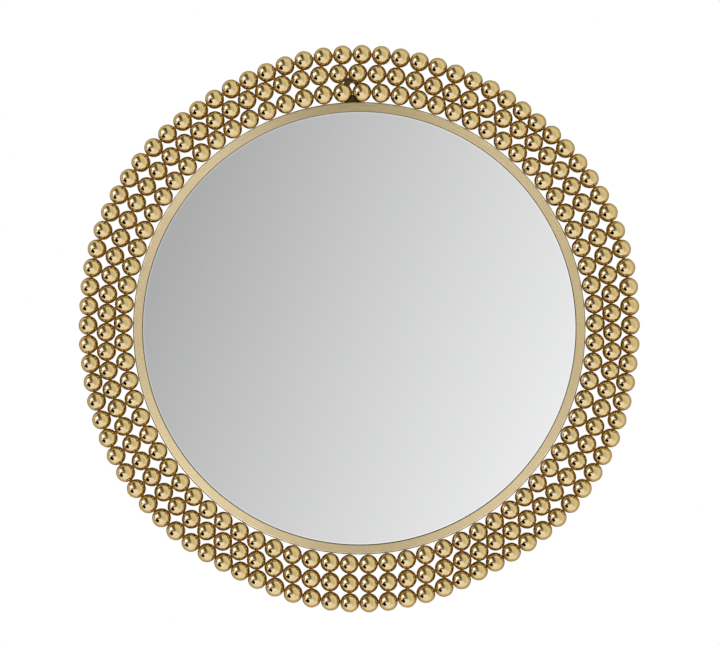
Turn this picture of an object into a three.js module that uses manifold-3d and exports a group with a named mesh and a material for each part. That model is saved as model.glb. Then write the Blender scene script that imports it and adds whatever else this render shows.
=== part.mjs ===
// Round wall mirror: a flat brushed rim round a silvered glass, with three rows of polished balls welded
// round it, and a keyhole hanger at the top of the back.
//
// Millimetres. +X is to the right of a person facing the mirror, +Y points into the wall and +Z is up.
// The origin is where the axis of the wall screw meets the wall: the seat at the top of the keyhole slot.
import * as THREE from "three";
import { mergeVertices } from "three/addons/utils/BufferGeometryUtils.js";
import Module from "manifold-3d";

const wasm = await Module();
wasm.setup();

// ---- Driving dimensions -------------------------------------------------------------------------------

// Balls: rows of one size, each row resting in the hollows of the row inside it.
const BALL_DIAMETER = 25.4;
const ROW_COUNT = 3;
const WELD_GAP = 0.55; // between neighbours in a row, filled by the weld
const ROW_GAP = 0.6; // from a ball to the row or band that it rests on
const WELD_DIAMETER = 5.2;
const BALLS_PROUD = 10; // in front of the rim's face, which leaves flat band behind it for them to rest on
const ARCS_PER_ROW = 6; // lengths that a row is welded up in
const ARC_JOINT = 0.3; // between the ends of two lengths
const ROWS_START_DEG = 268.35; // every row starts at a gap here, near the lowest point
const TOP_DEG = 450; // the hanger, counted on from the start of the rows

// Rows laid by hand wander from even spacing. For each row from the inside out: how far round the whole mirror,
// where it wanders furthest anticlockwise, and how far more at the hanger and to either side of it.
const ROW_DRIFT_DEG = [0.11, 0.17, 0.38];
const ROW_DRIFT_AT_DEG = [76, 10, 184];
const TOP_DRIFT_DEG = [-0.75, 0.31, -0.54];
const TOP_DRIFT_SPREAD_DEG = 35;

// Facets of a ball: points on its equator, on the ring halfway to each weld, and on the weld.
const EQUATOR_POINTS = 8;
const HALFWAY_POINTS = 6;
const WELD_POINTS = 3;

// Frame ring: one L-section of sheet, a band that stands on the wall and a flat rim turned in over the glass.
const FRAME_RADIUS = 304.8; // outside of the band
const FRAME_SHEET = 1.5;
const RIM_WIDTH = 12.7;
const BEND_RADIUS = 2; // outside of the bend between band and rim
const BEND_STEPS = 2;
const SIGHT_EDGE_BREAK = 0.4; // chamfer on the rim's inner edge
const ROUND_STEPS = 60; // facets round the frame, tape, glass and board

// What is stacked behind the rim.
const TAPE_THICKNESS = 1;
const TAPE_WIDTH = 7;
const TAPE_TO_EDGE = 0.4; // from the tape out to the edge of the glass
const GLASS_THICKNESS = 4;
const BEVEL_WIDTH = 11.2; // ground round the glass, nearly all of it under the rim
const BEVEL_DROP = 0.8; // taken off the glass at its edge
const BOARD_THICKNESS = 6;

// Tabs, welded inside the band and bent over the board once it is in, and the screw through each.
const TAB_COUNT = 8;
const TAB_FIRST_DEG = 22.5;
const TAB_WIDTH = 16;
const TAB_SHEET = 1.2;
const TAB_REACH = 16; // over the board
const TAB_LEG = 10; // along the band
const SCREW_DIAMETER = 3.5;
const SCREW_COVER = 2; // board left between the screw's tip and the glass
const SCREW_HEAD_DIAMETER = 7.4;
const SCREW_HEAD_HEIGHT = 2.4;
const SCREW_STEPS = 6;

// Hanger: a tongue with a keyhole that passes through a notch in the band, and a leg welded inside the band.
const SEAT_ABOVE_ROW = 10.9; // the wall screw, from the centre line of the inner row of balls
const HANGER_WIDTH = 24;
const HANGER_SHEET = 2;
const HANGER_TO_BALLS = 3.6;
const HANGER_LEG_TO_BOARD = 1.2;
const SLOT_WIDTH = 6.6;
const HEAD_HOLE_DIAMETER = 9.2;
const SLOT_LENGTH = 8; // slot's seat to the centre of the hole for the screw's head

const SEAT_GAP = 0.3; // between two pieces that are welded, screwed or seated together
const HOLE_CLEARANCE = 0.3; // on the radius of a screw in its hole
const CUT_MARGIN = 2; // how far a cutting tool runs past what it cuts

// ---- Sizes that follow --------------------------------------------------------------------------------

const BALL_RADIUS = BALL_DIAMETER / 2;
const ROW_SPACING = BALL_DIAMETER + ROW_GAP; // centre to centre where two balls of different rows touch
const BALL_PLANE = -HANGER_SHEET - HANGER_TO_BALLS - BALL_RADIUS;
const FRAME_FACE = BALL_PLANE - BALL_RADIUS + BALLS_PROUD;
const SIGHT_RADIUS = FRAME_RADIUS - RIM_WIDTH;
const BAND_INSIDE = FRAME_RADIUS - FRAME_SHEET;
const INNER_ROW_RADIUS = FRAME_RADIUS + ROW_GAP + BALL_RADIUS;
const SEAT_RADIUS = INNER_ROW_RADIUS + SEAT_ABOVE_ROW;
const RIM_BACK = FRAME_FACE + FRAME_SHEET;
const TAPE_FRONT = RIM_BACK + SEAT_GAP;
const TAPE_BACK = TAPE_FRONT + TAPE_THICKNESS;
const GLASS_FRONT = TAPE_BACK + SEAT_GAP;
const GLASS_BACK = GLASS_FRONT + GLASS_THICKNESS;
const BOARD_FRONT = GLASS_BACK + SEAT_GAP;
const BOARD_BACK = BOARD_FRONT + BOARD_THICKNESS;
const TAB_FRONT = BOARD_BACK + SEAT_GAP;
const TAB_BACK = TAB_FRONT + TAB_SHEET;
const TAB_HEEL = flatInBand(TAB_WIDTH);
const GLASS_RADIUS = TAB_HEEL - TAB_SHEET - SEAT_GAP;
const SCREW_DISTANCE = TAB_HEEL - (TAB_SHEET + TAB_REACH) / 2; // halfway along the part of the foot that shows

// How far from the middle a flat piece of this width lies when its corners clear the facets of the band.
function flatInBand(width) {
  const clear = BAND_INSIDE * Math.cos(Math.PI / ROUND_STEPS) - SEAT_GAP;
  return Math.sqrt(clear ** 2 - (width / 2) ** 2);
}

// ---- Materials ----------------------------------------------------------------------------------------

function metal(colour, roughness) {
  return new THREE.MeshStandardMaterial({ color: colour, roughness, metalness: 1 });
}

function plain(colour, roughness) {
  return new THREE.MeshStandardMaterial({ color: colour, roughness, metalness: 0 });
}

const polishedBrass = metal(0xd6bd80, 0.08);
const brushedBrass = metal(0xcdb787, 0.35);
const darkBrass = metal(0x6e5a2c, 0.45);
const silveredGlass = metal(0xe8ebec, 0.02);
const zincPlate = metal(0xb4b6b8, 0.4);
const paintedBoard = plain(0x26241f, 0.85);
const foamTape = plain(0x1b1c1b, 0.95);

// ---- Solids: cutting and joining ----------------------------------------------------------------------

function solidOf(geometry) {
  const bare = geometry.index ? geometry.toNonIndexed() : geometry.clone();
  bare.deleteAttribute("normal");
  bare.deleteAttribute("uv");
  const merged = mergeVertices(bare, 1e-3);
  return new wasm.Manifold(
    new wasm.Mesh({
      numProp: 3,
      vertProperties: merged.attributes.position.array,
      triVerts: new Uint32Array(merged.index.array),
    }),
  );
}

function geometryOf(solid) {
  const mesh = solid.getMesh();
  const geometry = new THREE.BufferGeometry();
  geometry.setAttribute("position", new THREE.BufferAttribute(mesh.vertProperties, 3));
  geometry.setIndex(new THREE.BufferAttribute(mesh.triVerts, 1));
  geometry.computeVertexNormals();
  return geometry;
}

const cut = (body, tool) => geometryOf(solidOf(body).subtract(solidOf(tool)));
const join = (body, other) => geometryOf(solidOf(body).add(solidOf(other)));

// A box given by its lowest and highest corners.
function boxBetween(low, high) {
  const box = new THREE.BoxGeometry(high[0] - low[0], high[1] - low[1], high[2] - low[2]);
  return box.translate((low[0] + high[0]) / 2, (low[1] + high[1]) / 2, (low[2] + high[2]) / 2);
}

// A ring or disc turned about the mirror's axis, from points [radius, y] that go round the section.
function turned(section, steps) {
  const points = section.map(([radius, y]) => new THREE.Vector2(radius, y));
  return new THREE.LatheGeometry(points, steps);
}

// A flat plate in the XZ plane, whose back face is at y = back and which is thick towards the room.
function plate(outline, thickness, back) {
  const flat = new THREE.ExtrudeGeometry(outline, { depth: thickness, bevelEnabled: false, curveSegments: 6 });
  return flat.rotateX(Math.PI / 2).translate(0, back, 0);
}

// ---- Frame, glass and board ---------------------------------------------------------------------------

function frameRing() {
  const bendCentre = [FRAME_RADIUS - BEND_RADIUS, FRAME_FACE + BEND_RADIUS];
  const bend = Array.from({ length: BEND_STEPS + 1 }, (_, i) => {
    const turn = (1 - i / BEND_STEPS) * (Math.PI / 2);
    return [bendCentre[0] + BEND_RADIUS * Math.cos(turn), bendCentre[1] - BEND_RADIUS * Math.sin(turn)];
  });
  const section = [
    [BAND_INSIDE, 0],
    [BAND_INSIDE, RIM_BACK],
    [SIGHT_RADIUS, RIM_BACK],
    [SIGHT_RADIUS, FRAME_FACE + SIGHT_EDGE_BREAK],
    [SIGHT_RADIUS + SIGHT_EDGE_BREAK, FRAME_FACE],
    ...bend,
    [FRAME_RADIUS, 0],
    [BAND_INSIDE, 0],
  ];
  const notchHalf = HANGER_WIDTH / 2 + SEAT_GAP;
  const notch = boxBetween(
    [-notchHalf, -HANGER_SHEET - SEAT_GAP, BAND_INSIDE - CUT_MARGIN],
    [notchHalf, CUT_MARGIN, FRAME_RADIUS + CUT_MARGIN],
  );
  return cut(turned(section, ROUND_STEPS), notch);
}

function glassTape() {
  const outside = GLASS_RADIUS - TAPE_TO_EDGE;
  const inside = outside - TAPE_WIDTH;
  const section = [
    [inside, TAPE_FRONT],
    [outside, TAPE_FRONT],
    [outside, TAPE_BACK],
    [inside, TAPE_BACK],
    [inside, TAPE_FRONT],
  ];
  return turned(section, ROUND_STEPS);
}

function mirrorGlass() {
  const section = [
    [0, GLASS_FRONT],
    [GLASS_RADIUS - BEVEL_WIDTH, GLASS_FRONT],
    [GLASS_RADIUS, GLASS_FRONT + BEVEL_DROP],
    [GLASS_RADIUS, GLASS_BACK],
    [0, GLASS_BACK],
  ];
  return turned(section, ROUND_STEPS);
}

function tabAngles() {
  return Array.from({ length: TAB_COUNT }, (_, i) =>
    THREE.MathUtils.degToRad(TAB_FIRST_DEG + (i * 360) / TAB_COUNT),
  );
}

function backBoard() {
  const outline = new THREE.Shape(roundPoints(0, 0, GLASS_RADIUS, ROUND_STEPS));
  for (const turn of tabAngles()) {
    const x = SCREW_DISTANCE * Math.sin(turn);
    const z = SCREW_DISTANCE * Math.cos(turn);
    outline.holes.push(new THREE.Path(roundPoints(x, z, SCREW_DIAMETER / 2 + HOLE_CLEARANCE, SCREW_STEPS)));
  }
  return plate(outline, BOARD_THICKNESS, BOARD_BACK);
}

// Points round a circle, anticlockwise from its top, so that they line up with those of a turned piece.
function roundPoints(x, y, radius, steps) {
  return Array.from({ length: steps }, (_, i) => {
    const turn = (i / steps) * 2 * Math.PI;
    return new THREE.Vector2(x - radius * Math.sin(turn), y + radius * Math.cos(turn));
  });
}

// ---- Hanger -------------------------------------------------------------------------------------------

// Built about the mirror's centre, like the rest. The tongue's round top is centred on the screw's seat.
function hanger() {
  const half = HANGER_WIDTH / 2;
  const legTop = flatInBand(HANGER_WIDTH);
  const legBottom = legTop - HANGER_SHEET;
  const tongue = new THREE.Shape();
  tongue.moveTo(-half, legBottom);
  tongue.lineTo(half, legBottom);
  tongue.lineTo(half, SEAT_RADIUS);
  tongue.absarc(0, SEAT_RADIUS, half, 0, Math.PI, false);
  tongue.closePath();
  tongue.holes.push(keyhole());
  const legFront = BOARD_BACK + HANGER_LEG_TO_BOARD;
  const leg = boxBetween([-half, legFront, legBottom], [half, -HANGER_SHEET / 2, legTop]);
  return join(plate(tongue, HANGER_SHEET, 0), leg);
}

function keyhole() {
  const slot = SLOT_WIDTH / 2;
  const head = HEAD_HOLE_DIAMETER / 2;
  const headCentre = SEAT_RADIUS - SLOT_LENGTH;
  const meet = Math.acos(slot / head); // where the slot's sides run into the hole for the head
  const outline = new THREE.Path();
  outline.moveTo(slot, SEAT_RADIUS);
  outline.absarc(0, SEAT_RADIUS, slot, 0, Math.PI, false);
  outline.absarc(0, headCentre, head, Math.PI - meet, 2 * Math.PI + meet, false);
  outline.closePath();
  return outline;
}

// ---- Tabs and screws ----------------------------------------------------------------------------------

// Built at the top of the mirror and turned to its place.
function boardTab() {
  const half = TAB_WIDTH / 2;
  const foot = boxBetween([-half, TAB_FRONT, TAB_HEEL - TAB_REACH], [half, TAB_BACK, TAB_HEEL]);
  const leg = boxBetween([-half, TAB_BACK - TAB_LEG, TAB_HEEL - TAB_SHEET], [half, TAB_BACK, TAB_HEEL]);
  const holeRadius = SCREW_DIAMETER / 2 + HOLE_CLEARANCE;
  const hole = new THREE.CylinderGeometry(holeRadius, holeRadius, TAB_SHEET + 2 * CUT_MARGIN, SCREW_STEPS);
  hole.translate(0, (TAB_FRONT + TAB_BACK) / 2, SCREW_DISTANCE);
  return cut(join(foot, leg), hole);
}

function screw() {
  const under = TAB_BACK + SEAT_GAP;
  const shank = SCREW_DIAMETER / 2;
  const head = SCREW_HEAD_DIAMETER / 2;
  const tip = BOARD_FRONT + SCREW_COVER;
  const section = [
    [0, tip],
    [shank, tip + SCREW_DIAMETER],
    [shank, under],
    [head, under],
    [head * 0.8, under + SCREW_HEAD_HEIGHT * 0.8],
    [0, under + SCREW_HEAD_HEIGHT],
  ];
  return turned(section, SCREW_STEPS).translate(0, 0, SCREW_DISTANCE);
}

// ---- Balls --------------------------------------------------------------------------------------------

// Where a ball at this angle touches the row inside it, as a distance from the mirror's centre.
function restingRadius(angle, innerRow) {
  const touches = innerRow.map((ball) => {
    const apart = angle - ball.angle;
    const across = ball.radius * Math.sin(apart);
    if (Math.abs(across) > ROW_SPACING || Math.cos(apart) < 0) return 0;
    return ball.radius * Math.cos(apart) + Math.sqrt(ROW_SPACING ** 2 - across ** 2);
  });
  return Math.max(...touches);
}

// How far a ball of row k is laid from its even place, both in degrees.
function driftOf(k, even) {
  const aroundDrift = THREE.MathUtils.degToRad(even - ROW_DRIFT_AT_DEG[k]);
  const fromTop = (even - TOP_DEG) / TOP_DRIFT_SPREAD_DEG;
  return ROW_DRIFT_DEG[k] * Math.cos(aroundDrift) + TOP_DRIFT_DEG[k] * Math.exp(-(fromTop ** 2));
}

function ballRows() {
  const rows = [];
  for (let k = 0; k < ROW_COUNT; k++) {
    const innerRow = rows[k - 1];
    // On average a row stands halfway between being stacked on the last one and being sunk in its hollows.
    const typical = INNER_ROW_RADIUS + k * ROW_SPACING * ((1 + Math.sqrt(3) / 2) / 2);
    const count = Math.round((2 * Math.PI * typical) / (BALL_DIAMETER + WELD_GAP));
    rows.push(
      Array.from({ length: count }, (_, i) => {
        const even = ROWS_START_DEG + ((i + 0.5) * 360) / count;
        const angle = THREE.MathUtils.degToRad(even + driftOf(k, even));
        return { angle, radius: innerRow ? restingRadius(angle, innerRow) : INNER_ROW_RADIUS };
      }),
    );
  }
  return rows;
}

function centreOf(ball) {
  return new THREE.Vector3(ball.radius * Math.cos(ball.angle), BALL_PLANE, ball.radius * Math.sin(ball.angle));
}

// A ring of points about a line through centre along the axis. The first point is on the side away from
// the mirror's middle, and the points turn right-handed about the axis.
function ringAbout(centre, axis, radius, count) {
  const depth = new THREE.Vector3(0, 1, 0);
  const outward = new THREE.Vector3().crossVectors(depth, axis);
  return Array.from({ length: count }, (_, i) => {
    const turn = (i / count) * 2 * Math.PI;
    return centre
      .clone()
      .addScaledVector(outward, radius * Math.cos(turn))
      .addScaledVector(depth, radius * Math.sin(turn));
  });
}

// The three rings of one ball: halfway to the weld behind it, its equator, and halfway to the weld ahead.
function ballRings(ball) {
  const along = new THREE.Vector3(-Math.sin(ball.angle), 0, Math.cos(ball.angle));
  const halfway = BALL_RADIUS * Math.SQRT1_2;
  const centre = centreOf(ball);
  return [
    ringAbout(centre.clone().addScaledVector(along, -halfway), along, halfway, HALFWAY_POINTS),
    ringAbout(centre, along, BALL_RADIUS, EQUATOR_POINTS),
    ringAbout(centre.clone().addScaledVector(along, halfway), along, halfway, HALFWAY_POINTS),
  ];
}

// The weld midway between two balls of a row, shifted along the row by offset.
function weldRing(ball, next, offset) {
  const from = centreOf(ball);
  const to = centreOf(next);
  const along = to.clone().sub(from).normalize();
  const middle = from.add(to).multiplyScalar(0.5).addScaledVector(along, offset);
  return ringAbout(middle, along, WELD_DIAMETER / 2, WELD_POINTS);
}

// Triangles between two rings that turn the same way and may hold different numbers of points.
function bridge(near, far, corners) {
  let i = 0;
  let j = 0;
  while (i < near.length || j < far.length) {
    const nearPoint = near[i % near.length];
    const farPoint = far[j % far.length];
    if ((i + 1) / near.length <= (j + 1) / far.length) {
      corners.push(nearPoint, near[(i + 1) % near.length], farPoint);
      i++;
    } else {
      corners.push(nearPoint, far[(j + 1) % far.length], farPoint);
      j++;
    }
  }
}

// A length of a row: balls first to last of the row as one welded string.
function ballString(row, first, last) {
  const at = (i) => row[(i + row.length) % row.length];
  const rings = [weldRing(at(first - 1), at(first), ARC_JOINT / 2)];
  for (let i = first; i <= last; i++) {
    rings.push(...ballRings(at(i)));
    rings.push(weldRing(at(i), at(i + 1), i === last ? -ARC_JOINT / 2 : 0));
  }
  const corners = [];
  const start = rings[0];
  const end = rings[rings.length - 1];
  for (let i = 1; i < WELD_POINTS - 1; i++) {
    corners.push(start[0], start[i + 1], start[i]);
    corners.push(end[0], end[i], end[i + 1]);
  }
  for (let i = 1; i < rings.length; i++) bridge(rings[i - 1], rings[i], corners);
  const geometry = new THREE.BufferGeometry().setFromPoints(corners);
  geometry.computeVertexNormals();
  return geometry;
}

// ---- The mirror ---------------------------------------------------------------------------------------

const mirror = new THREE.Group();
mirror.position.z = -SEAT_RADIUS;

function add(name, geometry, material) {
  const mesh = new THREE.Mesh(geometry, material);
  mesh.name = name;
  mirror.add(mesh);
  return mesh;
}

add("frame_ring", frameRing(), brushedBrass);
add("glass_tape", glassTape(), foamTape);
add("mirror_glass", mirrorGlass(), silveredGlass);
add("back_board", backBoard(), paintedBoard);
add("keyhole_hanger", hanger(), darkBrass);

tabAngles().forEach((turn, i) => {
  add(`board_tab_${i + 1}`, boardTab(), brushedBrass).rotation.y = turn;
  add(`tab_screw_${i + 1}`, screw(), zincPlate).rotation.y = turn;
});

const ROW_NAMES = ["inner", "middle", "outer"];
ballRows().forEach((row, k) => {
  const rowName = ROW_NAMES[k] ?? `row_${k + 1}`;
  for (let arc = 0; arc < ARCS_PER_ROW; arc++) {
    const first = Math.round((arc * row.length) / ARCS_PER_ROW);
    const last = Math.round(((arc + 1) * row.length) / ARCS_PER_ROW) - 1;
    add(`${rowName}_balls_${arc + 1}`, ballString(row, first, last), polishedBrass);
  }
});

const root = new THREE.Group();
root.add(mirror);
export default root;
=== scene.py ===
import math

import bmesh
import bpy
from mathutils import Matrix, Vector


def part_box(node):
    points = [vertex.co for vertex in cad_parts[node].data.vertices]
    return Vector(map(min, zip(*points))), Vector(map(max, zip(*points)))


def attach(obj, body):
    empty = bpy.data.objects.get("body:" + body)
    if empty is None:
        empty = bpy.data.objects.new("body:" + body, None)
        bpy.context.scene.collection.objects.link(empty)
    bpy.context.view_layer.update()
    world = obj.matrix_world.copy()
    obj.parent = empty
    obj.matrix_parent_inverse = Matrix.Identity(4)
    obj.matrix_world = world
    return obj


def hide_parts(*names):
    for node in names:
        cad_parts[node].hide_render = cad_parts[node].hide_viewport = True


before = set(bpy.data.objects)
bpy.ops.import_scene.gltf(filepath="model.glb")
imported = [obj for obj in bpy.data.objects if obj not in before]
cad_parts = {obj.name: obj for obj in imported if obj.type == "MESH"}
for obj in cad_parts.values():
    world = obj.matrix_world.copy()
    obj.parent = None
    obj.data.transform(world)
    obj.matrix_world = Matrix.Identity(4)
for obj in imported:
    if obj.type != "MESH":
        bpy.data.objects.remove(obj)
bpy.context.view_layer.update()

MM = 0.001
FULL_TURN = 2 * math.pi

# ---- Sizes, from the frame where it holds them -----------------------------------------------------------

ring_low, ring_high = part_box("frame_ring")
glass_low, glass_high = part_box("mirror_glass")
board_low, board_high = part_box("back_board")
hanger_low, hanger_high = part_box("keyhole_hanger")
string_low, string_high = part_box("inner_balls_1")

MIDDLE = Vector(((ring_low.x + ring_high.x) / 2, 0, (ring_low.z + ring_high.z) / 2))
FRAME_RADIUS = (ring_high.x - ring_low.x) / 2
RIM_FACE = ring_low.y
FRAME_SHEET = 1.5 * MM
RIM_WIDTH = 12.7 * MM
BEND_RADIUS = 2 * MM
SIGHT_EDGE_BREAK = 0.4 * MM
SIGHT_RADIUS = FRAME_RADIUS - RIM_WIDTH
GLASS_RADIUS = (glass_high.x - glass_low.x) / 2
BEVEL_WIDTH = 11.2 * MM
BEVEL_DROP = 0.8 * MM

BALL_RADIUS = (string_high.y - string_low.y) / 2
BALL_PLANE = (string_high.y + string_low.y) / 2
WELD_GAP = 0.55 * MM
# The smooth balls are this much larger than the solids' balls, so that neighbours just touch.
BALL_SWELL = 0.25 * MM
ROW_GAP = 0.6 * MM
# Two balls of neighbouring rows are welded if their surfaces are nearer than this.
WELD_REACH = 1.3 * MM
BAND_WELD_SIZE = 0.8
ROW_NAMES = ("inner", "middle", "outer")
STRINGS_PER_ROW = 6
ROWS_START_DEG = 268.35
TOP_DEG = 450
ROW_DRIFT_DEG = (0.11, 0.17, 0.38)
ROW_DRIFT_AT_DEG = (76, 10, 184)
TOP_DRIFT_DEG = (-0.75, 0.31, -0.54)
TOP_DRIFT_SPREAD_DEG = 35

TAB_COUNT = 8
TAB_WIDTH = 16 * MM
TAB_SHEET = 1.2 * MM
TAB_REACH = 16 * MM
TAB_LEG = 10 * MM
TAB_BEND = 1.8 * MM
SCREW_HEAD_RADIUS = 3.7 * MM
SCREW_HEAD_HEIGHT = 2.4 * MM
CROSS_WIDTH = 0.9 * MM
CROSS_LENGTH = 4.2 * MM
CROSS_DEPTH = 1.3 * MM

HANGER_SHEET = 2 * MM
SLOT_RADIUS = 3.3 * MM
HEAD_HOLE_RADIUS = 4.6 * MM
SLOT_LENGTH = 8 * MM

ROUND_STEPS = 240
SMOOTH_UNDER = math.radians(32)
MERGE = 1e-7


# ---- Node helpers ----------------------------------------------------------------------------------------

def add_node(tree, kind, inputs=None, **settings):
    """A new node, with its settings and the values or links of its inputs."""
    new = tree.nodes.new(kind)
    for name, value in settings.items():
        setattr(new, name, value)
    for name, value in (inputs or {}).items():
        if isinstance(value, bpy.types.NodeSocket):
            tree.links.new(value, new.inputs[name])
        else:
            new.inputs[name].default_value = value
    return new


def maths(tree, operation, first, second=0.0):
    return add_node(tree, "ShaderNodeMath", {0: first, 1: second}, operation=operation).outputs[0]


def dot(tree, first, second):
    inputs = {0: first, 1: second}
    return add_node(tree, "ShaderNodeVectorMath", inputs, operation="DOT_PRODUCT").outputs["Value"]


def ramp(tree, value, from_low, from_high, to_low, to_high):
    """A smooth step of value, from to_low at from_low to to_high at from_high."""
    inputs = {"Value": value, 1: from_low, 2: from_high, 3: to_low, 4: to_high}
    return add_node(tree, "ShaderNodeMapRange", inputs, interpolation_type="SMOOTHSTEP").outputs["Result"]


def mix_colour(tree, factor, first, second, blend="MIX"):
    """Colours are sockets or (r, g, b)."""
    new = tree.nodes.new("ShaderNodeMix")
    new.data_type = "RGBA"
    new.blend_type = blend
    values = {0: factor, 6: first, 7: second}
    for place, value in values.items():
        if isinstance(value, bpy.types.NodeSocket):
            tree.links.new(value, new.inputs[place])
        elif place == 0:
            new.inputs[place].default_value = value
        else:
            new.inputs[place].default_value = (*value, 1)
    return new.outputs[2]


def new_group(name, inputs, outputs):
    """An empty shader node group. Inputs and outputs map a name to "Float", "Vector" or "Color"."""
    group = bpy.data.node_groups.new(name, "ShaderNodeTree")
    for label, kind in inputs.items():
        group.interface.new_socket(label, in_out="INPUT", socket_type=f"NodeSocket{kind}")
    for label, kind in outputs.items():
        group.interface.new_socket(label, in_out="OUTPUT", socket_type=f"NodeSocket{kind}")
    return group, group.nodes.new("NodeGroupInput").outputs, group.nodes.new("NodeGroupOutput").inputs


def place_group(tree, group, inputs):
    new = tree.nodes.new("ShaderNodeGroup")
    new.node_tree = group
    for name, value in inputs.items():
        if isinstance(value, bpy.types.NodeSocket):
            tree.links.new(value, new.inputs[name])
        else:
            new.inputs[name].default_value = value
    return new.outputs


def uneven_group():
    """Soft cloudy variation, between Low and High."""
    group, given, made = new_group(
        "uneven",
        {"Vector": "Vector", "Scale": "Float", "Low": "Float", "High": "Float"},
        {"Value": "Float"},
    )
    noise = add_node(
        group, "ShaderNodeTexNoise", {"Vector": given["Vector"], "Scale": given["Scale"], "Detail": 3.0}
    )
    value = add_node(
        group,
        "ShaderNodeMapRange",
        {"Value": noise.outputs["Fac"], 1: 0.3, 2: 0.7, 3: given["Low"], 4: given["High"]},
    )
    group.links.new(value.outputs["Result"], made["Value"])
    return group


def brush_rings_group():
    """Brush lines that run round the mirror's axis. Vector is measured from the middle of the mirror."""
    group, given, made = new_group(
        "brush_rings",
        {"Vector": "Vector", "Lines": "Float", "Length": "Float"},
        {"Tone": "Float"},
    )
    parts = add_node(group, "ShaderNodeSeparateXYZ", {0: given["Vector"]}).outputs
    across = maths(group, "MULTIPLY", parts["X"], parts["X"])
    up = maths(group, "MULTIPLY", parts["Z"], parts["Z"])
    radius = maths(group, "SQRT", maths(group, "ADD", across, up))
    turn = maths(group, "ARCTAN2", parts["X"], parts["Z"])
    across_lines = maths(group, "MULTIPLY", radius, given["Lines"])
    along_lines = maths(group, "MULTIPLY", turn, given["Length"])
    place = add_node(group, "ShaderNodeCombineXYZ", {0: across_lines, 1: along_lines})
    noise = add_node(
        group,
        "ShaderNodeTexNoise",
        {"Vector": place.outputs[0], "Scale": 1.0, "Detail": 4.0, "Roughness": 0.7},
    )
    tone = add_node(group, "ShaderNodeMapRange", {"Value": noise.outputs["Fac"], 1: 0.25, 2: 0.75})
    group.links.new(tone.outputs["Result"], made["Tone"])
    return group


def specks_group():
    """Small round marks, such as dust or pinholes, over the Share of the surface."""
    group, given, made = new_group(
        "specks",
        {"Vector": "Vector", "Scale": "Float", "Share": "Float"},
        {"Mask": "Float"},
    )
    cells = add_node(group, "ShaderNodeTexVoronoi", {"Vector": given["Vector"], "Scale": given["Scale"]})
    here = add_node(group, "ShaderNodeSeparateColor", {0: cells.outputs["Color"]}).outputs["Red"]
    chosen = maths(group, "LESS_THAN", here, given["Share"])
    near = ramp(group, cells.outputs["Distance"], 0.1, 0.3, 1.0, 0.0)
    group.links.new(maths(group, "MULTIPLY", chosen, near), made["Mask"])
    return group


uneven = uneven_group()
brush_rings = brush_rings_group()
specks = specks_group()


# ---- Materials -------------------------------------------------------------------------------------------

def new_material(name):
    material = bpy.data.materials.new(name)
    material.use_nodes = True
    tree = material.node_tree
    shader = tree.nodes["Principled BSDF"]
    place = tree.nodes.new("ShaderNodeTexCoord").outputs["Object"]
    return material, tree, shader, place


def from_middle(tree, place):
    """Object coordinates measured from the middle of the mirror."""
    return add_node(tree, "ShaderNodeMapping", {"Vector": place, "Location": -MIDDLE}).outputs["Vector"]


def set_bump(tree, shader, height, strength, distance):
    bump = add_node(
        tree, "ShaderNodeBump", {"Height": height, "Strength": strength, "Distance": distance}
    )
    tree.links.new(bump.outputs["Normal"], shader.inputs["Normal"])


def polished_brass():
    material, tree, shader, place = new_material("polished_brass")
    drift = place_group(tree, uneven, {"Vector": place, "Scale": 26.0, "Low": 0.0, "High": 1.0})["Value"]
    colour = mix_colour(tree, drift, (0.605, 0.468, 0.235), (0.575, 0.442, 0.213))
    tree.links.new(colour, shader.inputs["Base Color"])
    handled = place_group(tree, uneven, {"Vector": place, "Scale": 90.0, "Low": 0.025, "High": 0.06})["Value"]
    tree.links.new(handled, shader.inputs["Roughness"])
    shader.inputs["Metallic"].default_value = 1.0
    shader.inputs["Specular Tint"].default_value = (0.6, 0.46, 0.3, 1)
    ripple = place_group(tree, uneven, {"Vector": place, "Scale": 70.0, "Low": 0.0, "High": 1.0})["Value"]
    set_bump(tree, shader, ripple, 0.25, 0.05 * MM)
    return material


def shaded_weld_brass():
    material, tree, shader, place = new_material("shaded_weld_brass")
    scorch_and_shade = place_group(tree, uneven, {"Vector": place, "Scale": 420.0, "Low": 0.0, "High": 1.0})["Value"]
    # Painted shade: both colours are near black, far darker than weld scorch on brass, and stand in for the
    # shade in the crevices between balls. The noise varies them like patchy scorch.
    colour = mix_colour(tree, scorch_and_shade, (0.060, 0.042, 0.018), (0.028, 0.019, 0.008))
    tree.links.new(colour, shader.inputs["Base Color"])
    rough = place_group(tree, uneven, {"Vector": place, "Scale": 700.0, "Low": 0.3, "High": 0.5})["Value"]
    tree.links.new(rough, shader.inputs["Roughness"])
    shader.inputs["Metallic"].default_value = 1.0
    set_bump(tree, shader, scorch_and_shade, 0.4, 0.15 * MM)
    return material


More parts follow.
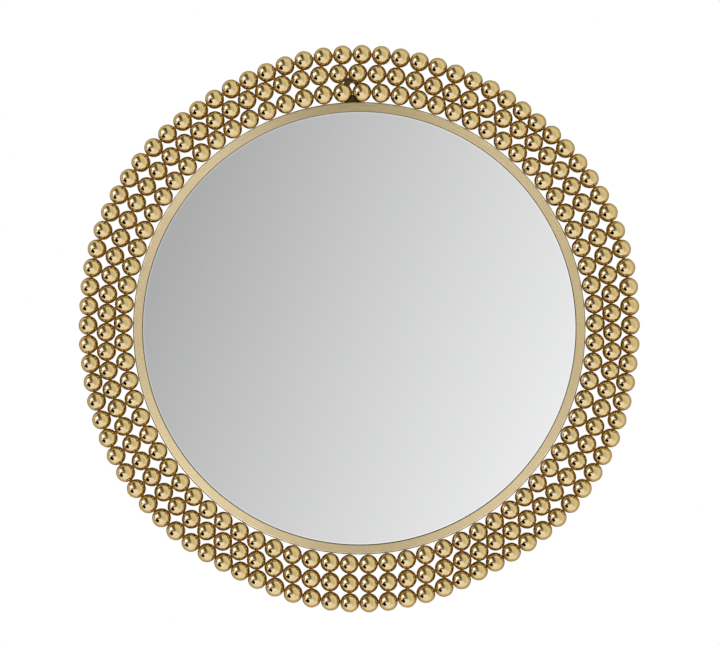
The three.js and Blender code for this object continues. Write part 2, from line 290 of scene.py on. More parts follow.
def brushed_brass():
    material, tree, shader, place = new_material("brushed_brass")
    centred = from_middle(tree, place)
    lines = place_group(tree, brush_rings, {"Vector": centred, "Lines": 2600.0, "Length": 9.0})["Tone"]
    bands = place_group(tree, brush_rings, {"Vector": centred, "Lines": 420.0, "Length": 2.0})["Tone"]
    colour = mix_colour(tree, lines, (0.475, 0.377, 0.189), (0.54, 0.438, 0.233))
    toned = mix_colour(tree, maths(tree, "MULTIPLY", bands, 0.35), colour, (0.442, 0.345, 0.163))
    # Painted shade: the colour darkens towards the bend and towards the sight edge, and stands in for the
    # thin dark line of shadow and dark reflection along both edges.
    flat = add_node(tree, "ShaderNodeVectorMath", {0: centred, 1: (1, 0, 1)}, operation="MULTIPLY").outputs[0]
    radius = add_node(tree, "ShaderNodeVectorMath", {0: flat}, operation="LENGTH").outputs["Value"]
    bend_shade = ramp(tree, radius, FRAME_RADIUS - 1.5 * MM, FRAME_RADIUS - 0.7 * MM, 0.0, 0.85)
    sight_edge_shade = ramp(tree, radius, SIGHT_RADIUS + 0.2 * MM, SIGHT_RADIUS + 0.7 * MM, 0.8, 0.0)
    edge_shaded = mix_colour(tree, maths(tree, "MAXIMUM", bend_shade, sight_edge_shade), toned, (0.20, 0.145, 0.07))
    tree.links.new(edge_shaded, shader.inputs["Base Color"])
    tree.links.new(ramp(tree, lines, 0.0, 1.0, 0.24, 0.36), shader.inputs["Roughness"])
    shader.inputs["Metallic"].default_value = 1.0
    shader.inputs["Anisotropic"].default_value = 0.8
    shader.inputs["Anisotropic Rotation"].default_value = 0.25
    grain = add_node(tree, "ShaderNodeTangent", direction_type="RADIAL", axis="Y")
    tree.links.new(grain.outputs["Tangent"], shader.inputs["Tangent"])
    set_bump(tree, shader, lines, 0.12, 0.02 * MM)
    return material


def dark_brass():
    material, tree, shader, place = new_material("dark_brass")
    stain = place_group(tree, uneven, {"Vector": place, "Scale": 160.0, "Low": 0.0, "High": 1.0})["Value"]
    # Painted shade: both browns are far darker than the balls' brass, and stand in for the shade that the
    # hanger lies in behind the balls. The tabs share this colour, and the stain varies it at random.
    colour = mix_colour(tree, stain, (0.27, 0.20, 0.085), (0.18, 0.13, 0.05))
    tree.links.new(colour, shader.inputs["Base Color"])
    rough = place_group(tree, uneven, {"Vector": place, "Scale": 300.0, "Low": 0.38, "High": 0.6})["Value"]
    tree.links.new(rough, shader.inputs["Roughness"])
    shader.inputs["Metallic"].default_value = 1.0
    pits = place_group(tree, specks, {"Vector": place, "Scale": 900.0, "Share": 0.3})["Mask"]
    set_bump(tree, shader, maths(tree, "SUBTRACT", 1.0, pits), 0.3, 0.05 * MM)
    return material


def silver():
    material, tree, shader, place = new_material("silver")
    haze = place_group(tree, uneven, {"Vector": place, "Scale": 3.0, "Low": 0.0, "High": 1.0})["Value"]
    colour = mix_colour(tree, haze, (0.905, 0.91, 0.912), (0.895, 0.90, 0.905))
    tree.links.new(colour, shader.inputs["Base Color"])
    wiped = place_group(tree, uneven, {"Vector": place, "Scale": 14.0, "Low": 0.008, "High": 0.02})["Value"]
    tree.links.new(wiped, shader.inputs["Roughness"])
    shader.inputs["Metallic"].default_value = 1.0
    return material


def glass_edge():
    material, tree, shader, place = new_material("glass_edge")
    ground = place_group(tree, uneven, {"Vector": place, "Scale": 250.0, "Low": 0.0, "High": 1.0})["Value"]
    colour = mix_colour(tree, ground, (0.20, 0.34, 0.29), (0.27, 0.40, 0.35))
    tree.links.new(colour, shader.inputs["Base Color"])
    shader.inputs["Roughness"].default_value = 0.25
    return material


def backing_paint():
    material, tree, shader, place = new_material("backing_paint")
    roller = place_group(tree, uneven, {"Vector": place, "Scale": 120.0, "Low": 0.0, "High": 1.0})["Value"]
    colour = mix_colour(tree, roller, (0.21, 0.215, 0.22), (0.25, 0.255, 0.26))
    tree.links.new(colour, shader.inputs["Base Color"])
    shader.inputs["Roughness"].default_value = 0.6
    return material


def painted_board():
    material, tree, shader, place = new_material("painted_board")
    fibres = add_node(
        tree, "ShaderNodeTexNoise", {"Vector": place, "Scale": 900.0, "Detail": 5.0, "Roughness": 0.75}
    ).outputs["Fac"]
    cloud = place_group(tree, uneven, {"Vector": place, "Scale": 7.0, "Low": 0.0, "High": 1.0})["Value"]
    dust = place_group(tree, specks, {"Vector": place, "Scale": 260.0, "Share": 0.06})["Mask"]
    paint = mix_colour(tree, cloud, (0.030, 0.028, 0.026), (0.042, 0.039, 0.035))
    thin = mix_colour(tree, ramp(tree, fibres, 0.52, 0.75, 0.0, 1.0), paint, (0.075, 0.062, 0.048))
    dusty = mix_colour(tree, maths(tree, "MULTIPLY", dust, 0.35), thin, (0.30, 0.28, 0.25))
    tree.links.new(dusty, shader.inputs["Base Color"])
    tree.links.new(ramp(tree, fibres, 0.3, 0.7, 0.62, 0.85), shader.inputs["Roughness"])
    set_bump(tree, shader, fibres, 0.5, 0.15 * MM)
    return material


def foam_tape():
    material, tree, shader, place = new_material("foam_tape")
    pores = place_group(tree, specks, {"Vector": place, "Scale": 1600.0, "Share": 0.6})["Mask"]
    colour = mix_colour(tree, pores, (0.018, 0.018, 0.018), (0.008, 0.008, 0.008))
    tree.links.new(colour, shader.inputs["Base Color"])
    shader.inputs["Roughness"].default_value = 0.9
    set_bump(tree, shader, maths(tree, "SUBTRACT", 1.0, pores), 0.6, 0.2 * MM)
    return material


def zinc_plate():
    material, tree, shader, place = new_material("zinc_plate")
    bloom = place_group(tree, uneven, {"Vector": place, "Scale": 500.0, "Low": 0.0, "High": 1.0})["Value"]
    colour = mix_colour(tree, bloom, (0.62, 0.62, 0.60), (0.50, 0.51, 0.52))
    tree.links.new(colour, shader.inputs["Base Color"])
    rough = place_group(tree, uneven, {"Vector": place, "Scale": 900.0, "Low": 0.25, "High": 0.45})["Value"]
    tree.links.new(rough, shader.inputs["Roughness"])
    shader.inputs["Metallic"].default_value = 1.0
    return material


POLISHED = polished_brass()
WELD = shaded_weld_brass()
BRUSHED = brushed_brass()
DULL_SHADED = dark_brass()
SILVER = silver()
GLASS_EDGE = glass_edge()
BACKING = backing_paint()
BOARD = painted_board()
FOAM = foam_tape()
ZINC = zinc_plate()


# ---- Shape helpers ---------------------------------------------------------------------------------------

def turned(section, closed=True):
    """A bmesh turned about the mirror's axis from (radius, y) points. Closed joins the last to the first."""
    shape = bmesh.new()
    corners = [shape.verts.new((MIDDLE.x + radius, y, MIDDLE.z)) for radius, y in section]
    edges = [shape.edges.new(pair) for pair in zip(corners, corners[1:])]
    if closed:
        edges.append(shape.edges.new((corners[-1], corners[0])))
    bmesh.ops.spin(
        shape,
        geom=corners + edges,
        cent=MIDDLE,
        axis=(0, 1, 0),
        angle=FULL_TURN,
        steps=ROUND_STEPS,
        use_merge=True,
        use_duplicate=False,
    )
    bmesh.ops.remove_doubles(shape, verts=shape.verts[:], dist=MERGE)
    bmesh.ops.recalc_face_normals(shape, faces=shape.faces[:])
    return shape


def box_shape(low, high):
    shape = bmesh.new()
    low, high = Vector(low), Vector(high)
    size = Matrix.Diagonal((*(high - low), 1))
    bmesh.ops.create_cube(shape, size=1, matrix=Matrix.Translation((low + high) / 2) @ size)
    return shape


def post_shape(x, z, radius, low, high):
    """A round post along Y."""
    shape = bmesh.new()
    place = Matrix.Translation((x, (low + high) / 2, z)) @ Matrix.Rotation(math.pi / 2, 4, "X")
    bmesh.ops.create_cone(
        shape, cap_ends=True, segments=64, radius1=radius, radius2=radius, depth=high - low, matrix=place
    )
    return shape


def mesh_object(name, shape):
    mesh = bpy.data.meshes.new(name)
    shape.to_mesh(mesh)
    shape.free()
    made = bpy.data.objects.new(name, mesh)
    bpy.context.scene.collection.objects.link(made)
    return made


def apply_modifiers(piece):
    """Replaces the piece's mesh with what its modifiers make of it."""
    evaluated = piece.evaluated_get(bpy.context.evaluated_depsgraph_get())
    mesh = bpy.data.meshes.new_from_object(evaluated)
    old = piece.data
    piece.modifiers.clear()
    piece.data = mesh
    bpy.data.meshes.remove(old)


def combine(piece, operation, *tools):
    """Joins the tools to the piece, or cuts them from it, one after another."""
    for tool in tools:
        other = mesh_object("tool", tool)
        boolean = piece.modifiers.new("boolean", "BOOLEAN")
        boolean.operation = operation
        boolean.object = other
        boolean.solver = "EXACT"
        apply_modifiers(piece)
        bpy.data.objects.remove(other)


def soften_edges(piece, width, segments=2):
    """Rounds every edge sharper than the bevel's limit."""
    bevel = piece.modifiers.new("edges", "BEVEL")
    bevel.width = width
    bevel.segments = segments
    bevel.limit_method = "ANGLE"
    bevel.angle_limit = math.radians(40)
    apply_modifiers(piece)


def finish_piece(piece, materials, slot, *nodes):
    """Shades, paints and places a piece that stands for these nodes."""
    for face in piece.data.polygons:
        face.use_smooth = True
    piece.data.set_sharp_from_angle(angle=SMOOTH_UNDER)
    piece.data.materials.clear()
    for material in materials:
        piece.data.materials.append(material)
    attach(piece, "root")
    if nodes:
        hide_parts(*nodes)
    return piece


# ---- Frame, glass and board ------------------------------------------------------------------------------

def make_frame():
    bend_steps = 6
    centre_radius, centre_y = FRAME_RADIUS - BEND_RADIUS, RIM_FACE + BEND_RADIUS
    bend = []
    for i in range(bend_steps + 1):
        turn = (1 - i / bend_steps) * math.pi / 2
        bend.append((centre_radius + BEND_RADIUS * math.cos(turn), centre_y - BEND_RADIUS * math.sin(turn)))
    inside = FRAME_RADIUS - FRAME_SHEET
    rim_back = RIM_FACE + FRAME_SHEET
    # Two points near the rim's edges keep its smooth shading flat between them.
    support = 0.3 * MM
    section = [
        (inside, ring_high.y),
        (inside, rim_back),
        (SIGHT_RADIUS, rim_back),
        (SIGHT_RADIUS, RIM_FACE + SIGHT_EDGE_BREAK),
        (SIGHT_RADIUS + SIGHT_EDGE_BREAK * 0.3, RIM_FACE + SIGHT_EDGE_BREAK * 0.3),
        (SIGHT_RADIUS + SIGHT_EDGE_BREAK, RIM_FACE),
        (SIGHT_RADIUS + SIGHT_EDGE_BREAK + support, RIM_FACE),
        (centre_radius - support, RIM_FACE),
        *bend,
        (FRAME_RADIUS, ring_high.y),
    ]
    piece = mesh_object("brushed_frame", turned(section))
    margin = 2 * MM
    notch = box_shape(
        (hanger_low.x - 0.3 * MM, -HANGER_SHEET - 0.3 * MM, MIDDLE.z + inside - margin),
        (hanger_high.x + 0.3 * MM, margin, MIDDLE.z + FRAME_RADIUS + margin),
    )
    combine(piece, "DIFFERENCE", notch)
    return finish_piece(piece, [BRUSHED], "brushed_brass", "frame_ring")


def make_glass():
    section = [
        (0, glass_low.y),
        (GLASS_RADIUS - BEVEL_WIDTH, glass_low.y),
        (GLASS_RADIUS, glass_low.y + BEVEL_DROP),
        (GLASS_RADIUS, glass_high.y),
        (0, glass_high.y),
    ]
    shape = turned(section, closed=False)
    for face in shape.faces:
        if face.normal.y > 0.5:
            face.material_index = 2
        elif face.normal.y > -0.5:
            face.material_index = 1
    piece = mesh_object("silvered_glass", shape)
    finish_piece(piece, [SILVER, GLASS_EDGE, BACKING], "silvered_glass", "mirror_glass")
    # The bevel meets the flat glass at a crisp line.
    piece.data.set_sharp_from_angle(angle=math.radians(2))


def make_board():
    edge_break = 0.6 * MM
    radius = (board_high.x - board_low.x) / 2
    section = [
        (0, board_low.y),
        (radius, board_low.y),
        (radius, board_high.y - edge_break),
        (radius - edge_break, board_high.y),
        (0, board_high.y),
    ]
    piece = mesh_object("fibre_board", turned(section, closed=False))
    finish_piece(piece, [BOARD], "painted_board", "back_board")


def paint_tape():
    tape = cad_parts["glass_tape"]
    tape.data.materials.clear()
    tape.data.materials.append(FOAM)


# ---- Hanger, tabs and screws -----------------------------------------------------------------------------

def make_hanger():
    half = hanger_high.x
    back = hanger_high.y
    front = back - HANGER_SHEET
    plate = mesh_object("hanger_plate", box_shape((-half, front, hanger_low.z), (half, back, 0)))
    leg_low = (-half, hanger_low.y, hanger_low.z)
    leg = box_shape(leg_low, (half, (front + back) / 2, hanger_low.z + HANGER_SHEET))
    combine(plate, "UNION", post_shape(0, 0, half, front, back), leg)
    margin = 1 * MM
    slot = box_shape((-SLOT_RADIUS, front - margin, -SLOT_LENGTH), (SLOT_RADIUS, back + margin, 0))
    seat = post_shape(0, 0, SLOT_RADIUS, front - margin, back + margin)
    head_hole = post_shape(0, -SLOT_LENGTH, HEAD_HOLE_RADIUS, front - margin, back + margin)
    combine(plate, "DIFFERENCE", slot, seat, head_hole)
    soften_edges(plate, 0.25 * MM)
    finish_piece(plate, [DULL_SHADED], "dark_brass", "keyhole_hanger")


def tab_shape(heel, front):
    """A tab at the top of the mirror: an L of sheet with a rounded bend and a rounded toe."""
    back = front + TAB_SHEET
    half = TAB_WIDTH / 2
    shape = bmesh.new()
    foot_end = heel - TAB_REACH
    outer = [(back, foot_end), (back, heel), (back - TAB_LEG, heel)]
    inner = [(back - TAB_LEG, heel - TAB_SHEET), (front, heel - TAB_SHEET), (front, foot_end)]
    corners = [shape.verts.new((-half, y, MIDDLE.z + z)) for y, z in outer + inner]
    face = shape.faces.new(corners)
    grown = bmesh.ops.extrude_face_region(shape, geom=[face])["geom"]
    moved = [item for item in grown if isinstance(item, bmesh.types.BMVert)]
    bmesh.ops.translate(shape, verts=moved, vec=(TAB_WIDTH, 0, 0))
    bmesh.ops.recalc_face_normals(shape, faces=shape.faces[:])

    def along(edge, axis):
        span = edge.verts[0].co - edge.verts[1].co
        return abs(span[axis]) > 0.99 * span.length

    def at(edge, y, z):
        middle = (edge.verts[0].co + edge.verts[1].co) / 2
        return abs(middle.y - y) < MERGE and abs(middle.z - MIDDLE.z - z) < MERGE

    bends = {
        TAB_BEND: [e for e in shape.edges if along(e, 0) and at(e, back, heel)],
        TAB_BEND - TAB_SHEET: [e for e in shape.edges if along(e, 0) and at(e, front, heel - TAB_SHEET)],
    }
    for radius, edges in bends.items():
        bmesh.ops.bevel(
            shape, geom=edges, offset=radius, segments=5, profile=0.5, affect="EDGES", material=-1
        )
    toe = [e for e in shape.edges if along(e, 1) and abs(e.verts[0].co.z - MIDDLE.z - foot_end) < MERGE]
    bmesh.ops.bevel(shape, geom=toe, offset=2.5 * MM, segments=5, profile=0.5, affect="EDGES", material=-1)
    return shape


def screw_shape(x, z, seat):
    """A pan head screw whose head rests at y = seat. Its shank is inside the tab and the board."""
    radius, height = SCREW_HEAD_RADIUS, SCREW_HEAD_HEIGHT
    shank = 1.75 * MM
    shape = bmesh.new()
    section = [
        (0, -5.6 * MM),
        (shank, -3.6 * MM),
        (shank, 0),
        (radius * 0.96, 0),
        (radius, 0.15 * height),
        (radius * 0.97, 0.45 * height),
        (radius * 0.80, 0.80 * height),
        (radius * 0.52, 0.95 * height),
        (0, height),
    ]
    corners = [shape.verts.new((x + r, seat + y, z)) for r, y in section]
    edges = [shape.edges.new(pair) for pair in zip(corners, corners[1:])]
    bmesh.ops.spin(
        shape,
        geom=corners + edges,
        cent=(x, seat, z),
        axis=(0, 1, 0),
        angle=FULL_TURN,
        steps=32,
        use_merge=True,
        use_duplicate=False,
    )
    bmesh.ops.remove_doubles(shape, verts=shape.verts[:], dist=MERGE)
    bmesh.ops.recalc_face_normals(shape, faces=shape.faces[:])
    return shape


def cross_arm(x, z, top, turn):
    """The cutter for one arm of a screw's cross recess."""
    length, width, margin = CROSS_LENGTH / 2, CROSS_WIDTH / 2, 1 * MM
    arm = box_shape((-length, -CROSS_DEPTH, -width), (length, margin, width))
    place = Matrix.Translation((x, top, z)) @ Matrix.Rotation(turn, 4, "Y")
    bmesh.ops.transform(arm, matrix=place, verts=arm.verts[:])
    return arm


def make_tabs_and_screws():
    for i in range(1, TAB_COUNT + 1):
        _, tab_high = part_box(f"board_tab_{i}")
        screw_low, screw_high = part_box(f"tab_screw_{i}")
        screw_at = (screw_low + screw_high) / 2
        turn = math.atan2(screw_at.x - MIDDLE.x, screw_at.z - MIDDLE.z)
        distance = math.hypot(screw_at.x - MIDDLE.x, screw_at.z - MIDDLE.z)
        heel = distance + (TAB_SHEET + TAB_REACH) / 2
        shape = tab_shape(heel, tab_high.y - TAB_SHEET)
        turned_by = Matrix.Rotation(turn, 4, "Y")
        about_middle = Matrix.Translation(MIDDLE) @ turned_by @ Matrix.Translation(-MIDDLE)
        bmesh.ops.transform(shape, matrix=about_middle, verts=shape.verts[:])
        tab = mesh_object(f"bent_tab_{i}", shape)
        soften_edges(tab, 0.12 * MM, segments=1)
        finish_piece(tab, [DULL_SHADED], "brushed_brass", f"board_tab_{i}")
        seat = screw_high.y - SCREW_HEAD_HEIGHT
        screw = mesh_object(f"pan_screw_{i}", screw_shape(screw_at.x, screw_at.z, seat))
        # Each screw stopped at its own angle, in radians.
        stopped = i * 1.9
        combine(
            screw,
            "DIFFERENCE",
            cross_arm(screw_at.x, screw_at.z, screw_high.y, stopped),
            cross_arm(screw_at.x, screw_at.z, screw_high.y, stopped + math.pi / 2),
        )
        finish_piece(screw, [ZINC], "zinc_screw", f"tab_screw_{i}")


# ---- Balls and welds -------------------------------------------------------------------------------------

def resting_radius(angle, inner_row):
    """Where a ball at this angle touches the row inside it."""
    spacing = 2 * BALL_RADIUS + ROW_GAP
    touches = [0.0]
    for other_angle, other_radius in inner_row:
        apart = angle - other_angle
        across = other_radius * math.sin(apart)
        if math.cos(apart) > 0 and abs(across) < spacing:
            touches.append(other_radius * math.cos(apart) + math.sqrt(spacing**2 - across**2))
    return max(touches)


def ball_rows():
    """Each row as (angle, radius) of its balls, anticlockwise from the gap at the foot of the mirror."""
    rows = []
    for k in range(len(ROW_NAMES)):
        first_radius = FRAME_RADIUS + ROW_GAP + BALL_RADIUS
        step_out = (2 * BALL_RADIUS + ROW_GAP) * (1 + math.sqrt(3) / 2) / 2
        count = round(FULL_TURN * (first_radius + k * step_out) / (2 * BALL_RADIUS + WELD_GAP))
        row = []
        for i in range(count):
            even = ROWS_START_DEG + (i + 0.5) * 360 / count
            around = ROW_DRIFT_DEG[k] * math.cos(math.radians(even - ROW_DRIFT_AT_DEG[k]))
            at_top = TOP_DRIFT_DEG[k] * math.exp(-(((even - TOP_DEG) / TOP_DRIFT_SPREAD_DEG) ** 2))
            angle = math.radians(even + around + at_top)
            row.append((angle, resting_radius(angle, rows[-1]) if rows else first_radius))
        rows.append(row)
    return rows


def place_of(angle, radius):
    return MIDDLE + Vector((radius * math.cos(angle), BALL_PLANE, radius * math.sin(angle)))


def ball_template():
    """One ball of 80 faces, a little large because one level of subdivision draws it in to its true size."""
    drawn_in = 0.9266
    shape = bmesh.new()
    bmesh.ops.create_icosphere(shape, subdivisions=2, radius=(BALL_RADIUS + BALL_SWELL) / drawn_in)
    mesh = bpy.data.meshes.new("ball_template")
    shape.to_mesh(mesh)
    shape.free()
    return mesh


def weld_template():
    """A waisted neck of weld along X, whose ends are sunk in the two balls that it joins."""
    shape = bmesh.new()
    section = [(-1.2, 3.6), (-0.5, 2.6), (0.0, 2.3), (0.5, 2.6), (1.2, 3.6)]
    corners = [shape.verts.new((x * MM, 0, radius * MM)) for x, radius in section]
    edges = [shape.edges.new(pair) for pair in zip(corners, corners[1:])]
    bmesh.ops.spin(
        shape,
        geom=corners + edges,
        cent=(0, 0, 0),
        axis=(1, 0, 0),
        angle=FULL_TURN,
        steps=10,
        use_merge=True,
        use_duplicate=False,
    )
    bmesh.ops.remove_doubles(shape, verts=shape.verts[:], dist=MERGE)
    bmesh.ops.holes_fill(shape, edges=[edge for edge in shape.edges if edge.is_boundary])
    bmesh.ops.recalc_face_normals(shape, faces=shape.faces[:])
    for face in shape.faces:
        face.material_index = 1
    mesh = bpy.data.meshes.new("weld_template")
    shape.to_mesh(mesh)
    shape.free()
    return mesh


def add_copy(shape, template, place):
    before = len(shape.verts)
    shape.from_mesh(template)
    shape.verts.ensure_lookup_table()
    bmesh.ops.transform(shape, matrix=place, verts=shape.verts[before:])


def add_weld(shape, template, start, end, size=1.0):
    """A neck of weld midway between two points, along the line that joins them."""
    turn = (end - start).to_track_quat("X", "Z").to_matrix().to_4x4()
    add_copy(shape, template, Matrix.Translation((start + end) / 2) @ turn @ Matrix.Scale(size, 4))


def subdivide_once(piece):
    smooth = piece.modifiers.new("smooth", "SUBSURF")
    smooth.levels = 1
    smooth.render_levels = 1


def make_ball_strings(rows, ball, weld):
    for name, row in zip(ROW_NAMES, rows):
        for k in range(STRINGS_PER_ROW):
            first = math.floor(k * len(row) / STRINGS_PER_ROW + 0.5)
            last = math.floor((k + 1) * len(row) / STRINGS_PER_ROW + 0.5)
            shape = bmesh.new()
            for i in range(first, last):
                here = place_of(*row[i])
                following = place_of(*row[(i + 1) % len(row)])
                add_copy(shape, ball, Matrix.Translation(here) @ Matrix.Rotation(i * 2.4, 4, "Y"))
                add_weld(shape, weld, here, following)
            string = mesh_object(f"{name}_string_{k + 1}", shape)
            finish_piece(string, [POLISHED, WELD], "polished_brass", f"{name}_balls_{k + 1}")
            subdivide_once(string)


def make_row_welds(rows, weld):
    """Welds from each row to the one inside it, and from the inner row to the band."""
    reach = 2 * BALL_RADIUS + WELD_REACH
    for k, (name, row) in enumerate(zip(ROW_NAMES, rows)):
        shape = bmesh.new()
        for angle, radius in row:
            here = place_of(angle, radius)
            if k == 0:
                band, foot = place_of(angle, FRAME_RADIUS), place_of(angle, radius - BALL_RADIUS)
                add_weld(shape, weld, band, foot, BAND_WELD_SIZE)
                continue
            for other in rows[k - 1]:
                there = place_of(*other)
                if (here - there).length < reach:
                    add_weld(shape, weld, there, here)
        piece = mesh_object(f"{name}_row_welds", shape)
        finish_piece(piece, [POLISHED, WELD], "polished_brass")
        subdivide_once(piece)


# ---- Studio ----------------------------------------------------------------------------------------------

# What metal and glass see round the mirror. SKYLINE_UP points from the floor's side of the skyline up.
WALL_TONE = (0.96, 0.955, 0.85)
GROUND_TONE = (1.16, 1.15, 1.22)
SEAM_TONE = (0.38, 0.34, 0.25)
SKYLINE_UP = (0.544, 0.03, 0.817)
ASIDE_TINT = (1.22, 1.21, 1.22)
BEYOND_TINT = (0.8, 0.78, 0.70)
BEHIND_TONE = (0.11, 0.09, 0.065)
REAR_WALL_TONE = (0.85, 0.84, 0.80)

# Each panel lies over those before it: azimuth, elevation, half width and half height, softness, tilt, tone.
# Angles are in degrees, and sizes and softness are tangents of angles.
GLOW, DARK = (1.45, 1.50, 1.85), (0.20, 0.17, 0.095)
PANELS = (
    (-14, -28, (0.62, 0.36), 0.50, 0, GLOW),  # a lit patch of floor
    (-32, -28, (0.16, 0.12), 0.15, 0, (1.9, 1.95, 2.3)),  # its brightest spot
    (-94, 5, (0.32, 1.1), 0.35, 0, (0.50, 0.43, 0.26)),  # a dim band at the far left
    (-27, 43, (0.26, 0.75), 0.14, 38, DARK),  # a dark bar beside the softbox
    (-60, 60, (0.40, 0.24), 0.25, 0, DARK),  # its upper end
    (-22, 2, (0.62, 0.13), 0.09, 14, DARK),  # a dark bar below the softbox
    (-64, 21, (0.27, 0.20), 0.10, 20, (2.3, 2.7, 5.2)),  # the softbox
    (-78, -9, (0.10, 0.12), 0.10, 0, (2.0, 2.0, 2.8)),  # a small lamp
    (-53, -26, (0.35, 0.36), 0.07, 35, (0.003, 0.003, 0.003)),  # a black card
)

# The greys that the glass sees: where they start and stop in -Y, their level, its slope to the right and up.
GREY_VIEWS = (
    ((0.964, 0.967), (0.976, 0.979), 0.78, 0.86, -0.44),  # the ring that the bevel sees
    ((0.991, 0.9935), None, 0.68, 2.15, -1.1),  # the disc that the flat glass sees
)
DARKEST_GREY, PALEST_GREY = 0.46, 0.95

# The white wall starts clear of the balls. Its two radii, its tone, and how far down the floor is, in metres.
WALL_RING = (0.395, 1.6)
WALL_RING_TONE = (0.85, 0.82, 0.74)
FLOOR_DROP = 1.75

# Lamps aimed at the mirror: name, azimuth and elevation in degrees, then distance, width, height and power.
ROOM_LAMPS = (
    ("key", -50, 35, 3.2, 1.6, 1.6, 60),
    ("fill", 45, 15, 3.5, 2.0, 2.0, 25),
    ("rear", 180, 40, 3.0, 1.8, 1.8, 40),
)
# These light the brushed rim alone, and give it its bright and dark sectors.
RIM_LAMPS = (
    ("left_strip", -28, 0, 2.5, 1.2, 6.0, 31),
    ("right_strip", 28, 0, 2.5, 1.2, 6.0, 15),
    ("upper_right_spot", 18, 22, 2.5, 0.9, 0.9, 1.5),
    ("upper_left_spot", -18, 22, 2.5, 0.9, 0.9, 3.0),
    ("lower_right_spot", 18, -22, 2.5, 0.9, 0.9, 2.5),
    ("lower_left_spot", -18, -19, 2.5, 0.9, 0.9, 1.9),
)
RIM_LAMP_COLOUR = (0.95, 0.97, 1.3)


def direction(azimuth, elevation):
    """Azimuth 0 is straight back from the glass to the viewer and grows to the viewer's right, in degrees."""
    turn, rise = math.radians(azimuth), math.radians(elevation)
    return Vector((math.sin(turn) * math.cos(rise), -math.cos(turn) * math.cos(rise), math.sin(rise)))


def panel_group():
    """1 inside a rectangle of the studio round, as seen from the mirror, and 0 outside it."""
    group, given, made = new_group(
        "studio_panel",
        {
            "Direction": "Vector",
            "Aim": "Vector",
            "Right": "Vector",
            "Up": "Vector",
            "Half Width": "Float",
            "Half Height": "Float",
            "Softness": "Float",
        },
        {"Mask": "Float"},
    )
    ahead = dot(group, given["Direction"], given["Aim"])
    facing = maths(group, "GREATER_THAN", ahead, 0.02)
    divisor = maths(group, "MAXIMUM", ahead, 0.02)
    mask = facing
    for axis, half in (("Right", "Half Width"), ("Up", "Half Height")):
        place = maths(group, "DIVIDE", dot(group, given["Direction"], given[axis]), divisor)
        inside = maths(group, "SUBTRACT", given[half], maths(group, "ABSOLUTE", place))
        edge = maths(group, "DIVIDE", inside, given["Softness"])
        mask = maths(group, "MULTIPLY", mask, ramp(group, edge, -0.5, 0.5, 0.0, 1.0))
    group.links.new(mask, made["Mask"])
    return group


def add_panel(tree, group, look, under, azimuth, elevation, size, softness, tilt, tone):
    """Lays a panel of this tone over what is under it. Size and softness are tangents of angles."""
    aim = direction(azimuth, elevation)
    turn = Matrix.Rotation(math.radians(tilt), 3, aim)
    right = turn @ aim.cross(Vector((0, 0, 1))).normalized()
    mask = place_group(
        tree,
        group,
        {
            "Direction": look,
            "Aim": aim,
            "Right": right,
            "Up": right.cross(aim),
            "Half Width": size[0],
            "Half Height": size[1],
            "Softness": softness,
        },
    )["Mask"]
    return mix_colour(tree, mask, under, tone)


def studio_round(tree, look, ahead):
    """Walls above a sloping skyline, a paler floor, brighter sides, and a dim room with a pale end wall."""
    height = dot(tree, look, SKYLINE_UP)
    floor_up = mix_colour(tree, ramp(tree, height, -0.03, 0.03, 0.0, 1.0), GROUND_TONE, WALL_TONE)
    seam = ramp(tree, maths(tree, "ABSOLUTE", height), 0.0, 0.05, 0.45, 0.0)
    seamed = mix_colour(tree, seam, floor_up, SEAM_TONE)
    flanked = mix_colour(tree, ramp(tree, ahead, 0.35, 0.75, 1.0, 0.0), seamed, ASIDE_TINT, "MULTIPLY")
    lit = mix_colour(tree, ramp(tree, ahead, -0.2, 0.3, 1.0, 0.0), flanked, BEYOND_TINT, "MULTIPLY")
    dimmed = mix_colour(tree, ramp(tree, ahead, -0.82, -0.3, 1.0, 0.0), lit, BEHIND_TONE)
    return mix_colour(tree, ramp(tree, ahead, -0.93, -0.84, 1.0, 0.0), dimmed, REAR_WALL_TONE)


def add_grey_view(tree, parts, ahead, under, outer, inner, level, across, up):
    """Lays a grey that pales to the right and down over a ring or a disc straight behind the viewer."""
    mask = ramp(tree, ahead, *outer, 0.0, 1.0)
    if inner:
        mask = maths(tree, "MULTIPLY", mask, ramp(tree, ahead, *inner, 1.0, 0.0))
    right = maths(tree, "MULTIPLY", parts["X"], across)
    slope = maths(tree, "ADD", right, maths(tree, "MULTIPLY", parts["Z"], up))
    sloped = maths(tree, "ADD", slope, level)
    grey = add_node(tree, "ShaderNodeClamp", {0: sloped, 1: DARKEST_GREY, 2: PALEST_GREY}).outputs[0]
    tone = add_node(tree, "ShaderNodeCombineColor", {0: grey, 1: grey, 2: grey}).outputs[0]
    return mix_colour(tree, mask, under, tone)


def make_world():
    """A pale studio round. The camera sees plain white, and metal and glass see the panels."""
    world = bpy.data.worlds.new("studio")
    bpy.context.scene.world = world
    world.use_nodes = True
    tree = world.node_tree
    look = tree.nodes.new("ShaderNodeTexCoord").outputs["Generated"]
    parts = add_node(tree, "ShaderNodeSeparateXYZ", {0: look}).outputs
    ahead = maths(tree, "MULTIPLY", parts["Y"], -1.0)
    whole = studio_round(tree, look, ahead)
    panel = panel_group()
    for azimuth, elevation, size, softness, tilt, tone in PANELS:
        whole = add_panel(tree, panel, look, whole, azimuth, elevation, size, softness, tilt, tone)
    for outer, inner, level, across, up in GREY_VIEWS:
        whole = add_grey_view(tree, parts, ahead, whole, outer, inner, level, across, up)
    light_path = tree.nodes.new("ShaderNodeLightPath").outputs
    shown = mix_colour(tree, light_path["Is Camera Ray"], whole, (1, 1, 1))
    tree.links.new(shown, tree.nodes["Background"].inputs["Color"])


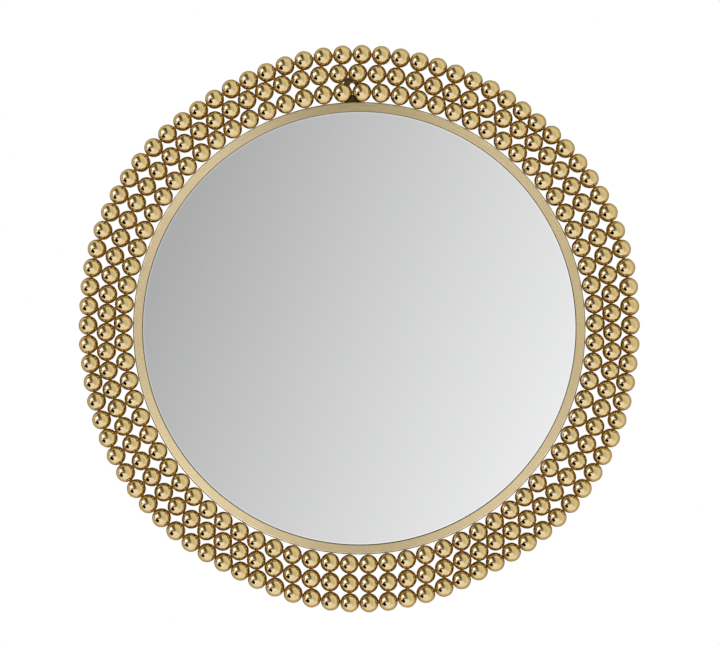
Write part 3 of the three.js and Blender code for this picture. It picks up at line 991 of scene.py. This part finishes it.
def make_floor():
    """A pale floor, the height of a room below the mirror, that keeps a soft shadow."""
    shape = bmesh.new()
    place = Matrix.Translation((0, 0, -FLOOR_DROP))
    bmesh.ops.create_grid(shape, x_segments=1, y_segments=1, size=3, matrix=place)
    floor = mesh_object("floor", shape)
    material, tree, shader, _ = new_material("pale_floor")
    shader.inputs["Base Color"].default_value = (0.9, 0.9, 0.9, 1)
    shader.inputs["Roughness"].default_value = 0.8
    glow = add_node(tree, "ShaderNodeEmission", {"Color": (1, 1, 1, 1), "Strength": 1.0})
    light_path = tree.nodes.new("ShaderNodeLightPath").outputs
    share = maths(tree, "MULTIPLY", light_path["Is Camera Ray"], 0.8)
    mixed = add_node(tree, "ShaderNodeMixShader", {0: share, 1: shader.outputs[0], 2: glow.outputs[0]})
    tree.links.new(mixed.outputs[0], tree.nodes["Material Output"].inputs["Surface"])
    floor.data.materials.append(material)
    floor.visible_glossy = False


def make_wall():
    """The white wall beside the mirror, which only polished metal shows."""
    wall = mesh_object("white_wall", turned([(radius, 2 * MM) for radius in WALL_RING], closed=False))
    material, tree, _, _ = new_material("white_wall")
    glow = add_node(tree, "ShaderNodeEmission", {"Color": (*WALL_RING_TONE, 1), "Strength": 1.0})
    tree.links.new(glow.outputs[0], tree.nodes["Material Output"].inputs["Surface"])
    material.cycles.emission_sampling = "NONE"
    wall.data.materials.append(material)
    wall.visible_camera = False
    wall.visible_diffuse = False
    wall.visible_shadow = False


def make_lamp(name, azimuth, elevation, distance, width, height, power, shines_on=None):
    """An area lamp aimed at the mirror. With shines_on it lights and shows in that piece alone."""
    data = bpy.data.lights.new(name, "AREA")
    data.shape = "RECTANGLE"
    data.size = width
    data.size_y = height
    data.energy = power
    lamp = bpy.data.objects.new(name, data)
    bpy.context.scene.collection.objects.link(lamp)
    lamp.location = MIDDLE + direction(azimuth, elevation) * distance
    lamp.rotation_euler = (-direction(azimuth, elevation)).to_track_quat("-Z", "Y").to_euler()
    lamp.visible_glossy = shines_on is not None
    if shines_on:
        data.color = RIM_LAMP_COLOUR
        lit = bpy.data.collections.new(f"{name}_lights")
        lit.objects.link(shines_on)
        lamp.light_linking.receiver_collection = lit


def make_camera():
    """The photograph's view: square on, from 3 m, turned so that the mirror stands a little anticlockwise."""
    distance = 3.0
    metres_per_pixel = 1.3475 * MM
    frame_width, frame_height = 720, 645
    mirror_pixel = Vector((359.27, 328.25))
    roll = math.radians(1.65)
    data = bpy.data.cameras.new("camera")
    data.sensor_width = 36
    data.lens = data.sensor_width * distance / (frame_width * metres_per_pixel)
    camera = bpy.data.objects.new("camera", data)
    bpy.context.scene.collection.objects.link(camera)
    aside = (frame_width / 2 - mirror_pixel.x) * metres_per_pixel
    above = (mirror_pixel.y - frame_height / 2) * metres_per_pixel
    camera.rotation_mode = "QUATERNION"
    looking = Matrix.Rotation(roll, 3, "Y") @ Matrix.Rotation(math.pi / 2, 3, "X")
    camera.rotation_quaternion = looking.to_quaternion()
    camera.location = MIDDLE + looking @ Vector((aside, above, distance)) + Vector((0, BALL_PLANE, 0))
    bpy.context.scene.camera = camera


# ---- The whole scene -------------------------------------------------------------------------------------

make_camera()
make_world()
make_floor()
make_wall()
for room_lamp in ROOM_LAMPS:
    make_lamp(*room_lamp)

FRAME_PIECE = make_frame()
for rim_lamp in RIM_LAMPS:
    make_lamp(*rim_lamp, shines_on=FRAME_PIECE)
make_glass()
paint_tape()
make_board()
make_hanger()
make_tabs_and_screws()

ROWS = ball_rows()
BALL = ball_template()
NECK = weld_template()
make_ball_strings(ROWS, BALL, NECK)
make_row_welds(ROWS, NECK)

bpy.context.scene.view_settings.view_transform = "Standard"
